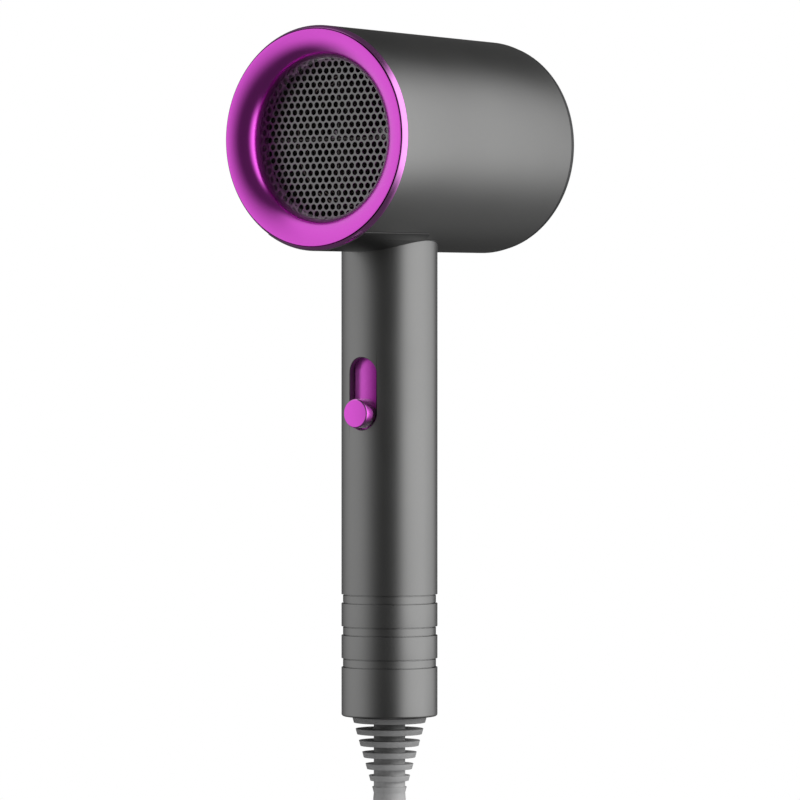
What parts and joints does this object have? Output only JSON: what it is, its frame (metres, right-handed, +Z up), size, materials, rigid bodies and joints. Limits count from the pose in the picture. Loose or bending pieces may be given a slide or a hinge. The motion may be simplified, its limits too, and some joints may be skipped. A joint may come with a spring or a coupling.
{
  "type": "travel hair dryer",
  "caption": "Compact hair dryer: level cylindrical barrel with a flared front ring, upright round handle with a slide switch, ribbed strain relief and a tied mains cord.",
  "frame": {"origin": "on the handle's axis, half way up the plain collar at its foot, where a stand or bracket grips it", "axes": "+Z up along the handle, -Y towards the air outlet, +X to the right of someone looking along +Y at the outlet"},
  "size_m": [0.0828, 0.1136, 0.5215],
  "materials": {
    "shell_grey": "satin metallic paint",
    "ring_magenta": "satin metallic paint",
    "grille_grey": "satin paint",
    "cover_dark": "fine matt",
    "filter_mesh": "woven mesh",
    "relief_grey": "matt moulded",
    "cord_grey": "matt",
    "tie_black": "woven",
    "pin_nickel": "nickel plate",
    "screw_steel": "zinc plate",
    "carrier_black": "moulded",
    "impeller_black": "moulded",
    "mica": "flaky, slightly glossy",
    "resistance_wire": "oxidised",
    "guard_metal": "plain",
    "motor_steel": "zinc plate",
    "copper_wire": "enamelled copper",
    "bush_bronze": "sintered",
    "magnet": "ferrite",
    "board_green": "solder mask",
    "capacitor_yellow": "moulded",
    "wire_red": "insulation"
  },
  "bodies": {
    "dryer": {"barrel_shell": "shell_grey", "handle_tube": "shell_grey", "neck_saddle": "shell_grey", "front_ring": "ring_magenta", "front_grille": "grille_grey", "rear_cover": "cover_dark", "handle_end_cap": "cover_dark", "intake_filter": "filter_mesh", "strain_relief": "relief_grey", "cord_inner_end": "cord_grey", "cord_lead": "cord_grey", "cord_hank": "cord_grey", "cord_tail": "cord_grey", "plug_body": "cord_grey", "hank_tie": "tie_black", "plug_pins": "pin_nickel", "chassis_screws": "screw_steel", "clamp_screws": "screw_steel", "handle_chassis": "carrier_black", "slide_switch": "carrier_black", "cord_clamp": "carrier_black", "neck_insert": "carrier_black", "grille_retainer": "carrier_black", "fan_duct": "carrier_black", "motor_end_cap": "carrier_black", "heater_liner": "mica", "heater_board_level": "mica", "heater_board_upright": "mica", "heating_coils": "resistance_wire", "thermostat": "guard_metal", "thermal_fuse": "guard_metal", "motor_can": "motor_steel", "motor_bushes": "bush_bronze", "motor_magnets": "magnet", "control_board": "board_green", "motor_board": "board_green", "mains_capacitor": "capacitor_yellow", "inner_wires": "wire_red", "motor_leads": "wire_red"},
    "switch_slider": {"switch_knob": "ring_magenta", "slide_plate": "ring_magenta", "switch_lever": "carrier_black"},
    "rotor": {"motor_shaft": "motor_steel", "armature_stack": "motor_steel", "armature_windings": "copper_wire", "commutator": "copper_wire", "fan_impeller": "impeller_black"}
  },
  "joints": [
    {"name": "switch_slide", "type": "slide", "parent": "dryer", "child": "switch_slider", "axis": [0, 0, 1], "range_m": [0, 0.0147]},
    {"name": "fan_spin", "type": "hinge", "parent": "dryer", "child": "rotor", "pos_m": [0, 0, 0.2055], "axis": [0, 1, 0], "continuous": true}
  ]
}
